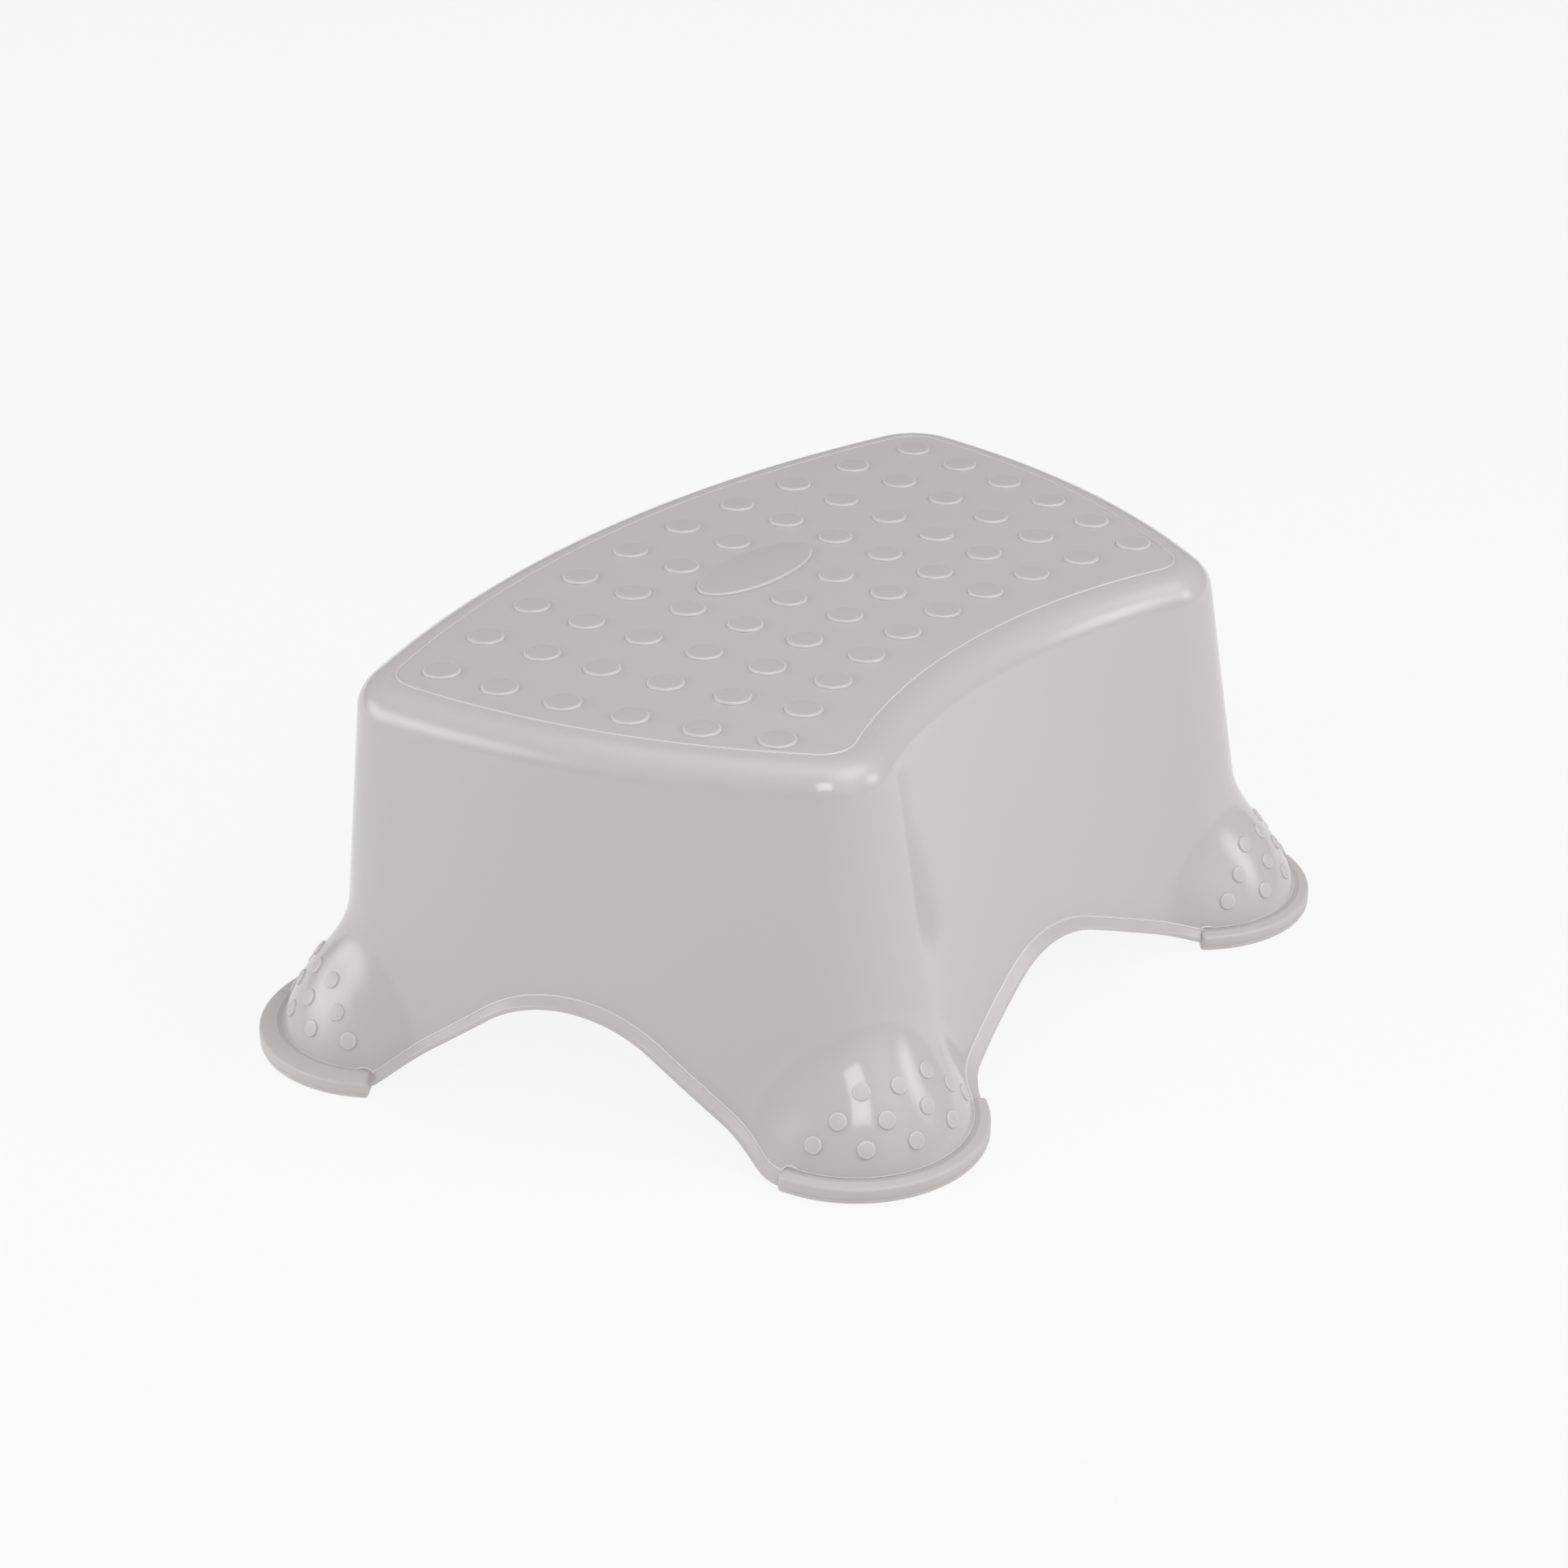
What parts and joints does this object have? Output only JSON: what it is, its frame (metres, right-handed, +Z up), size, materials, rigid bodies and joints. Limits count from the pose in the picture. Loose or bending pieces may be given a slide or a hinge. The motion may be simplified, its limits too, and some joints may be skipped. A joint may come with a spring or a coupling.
{
  "type": "step stool",
  "caption": "Low moulded plastic step stool with a kidney-shaped tread, arched walls, bulging feet, soft grip studs and soft foot rims.",
  "frame": {"origin": "on the floor, under the middle of the stool", "axes": "+X along the tread, +Y towards the bowed back, -Y towards the hollow front, +Z up"},
  "size_m": [0.4168, 0.2686, 0.14],
  "materials": {
    "shell": "light warm grey polypropylene, glossy on the walls and feet, fine matt texture on the tread",
    "grip": "matt thermoplastic elastomer in nearly the same warm grey"
  },
  "bodies": {
    "root": {"body_shell": "shell", "tread_grip_row_01": "grip", "tread_grip_row_02": "grip", "tread_grip_row_03": "grip", "tread_grip_row_04": "grip", "tread_grip_row_05": "grip", "tread_grip_row_06": "grip", "tread_grip_row_07": "grip", "tread_grip_row_08": "grip", "tread_grip_row_09": "grip", "tread_grip_row_10": "grip", "tread_badge": "grip", "front_left_foot_rim": "grip", "front_right_foot_rim": "grip", "back_left_foot_rim": "grip", "back_right_foot_rim": "grip", "front_left_foot_studs": "grip", "front_right_foot_studs": "grip", "back_left_foot_studs": "grip", "back_right_foot_studs": "grip"}
  },
  "joints": []
}
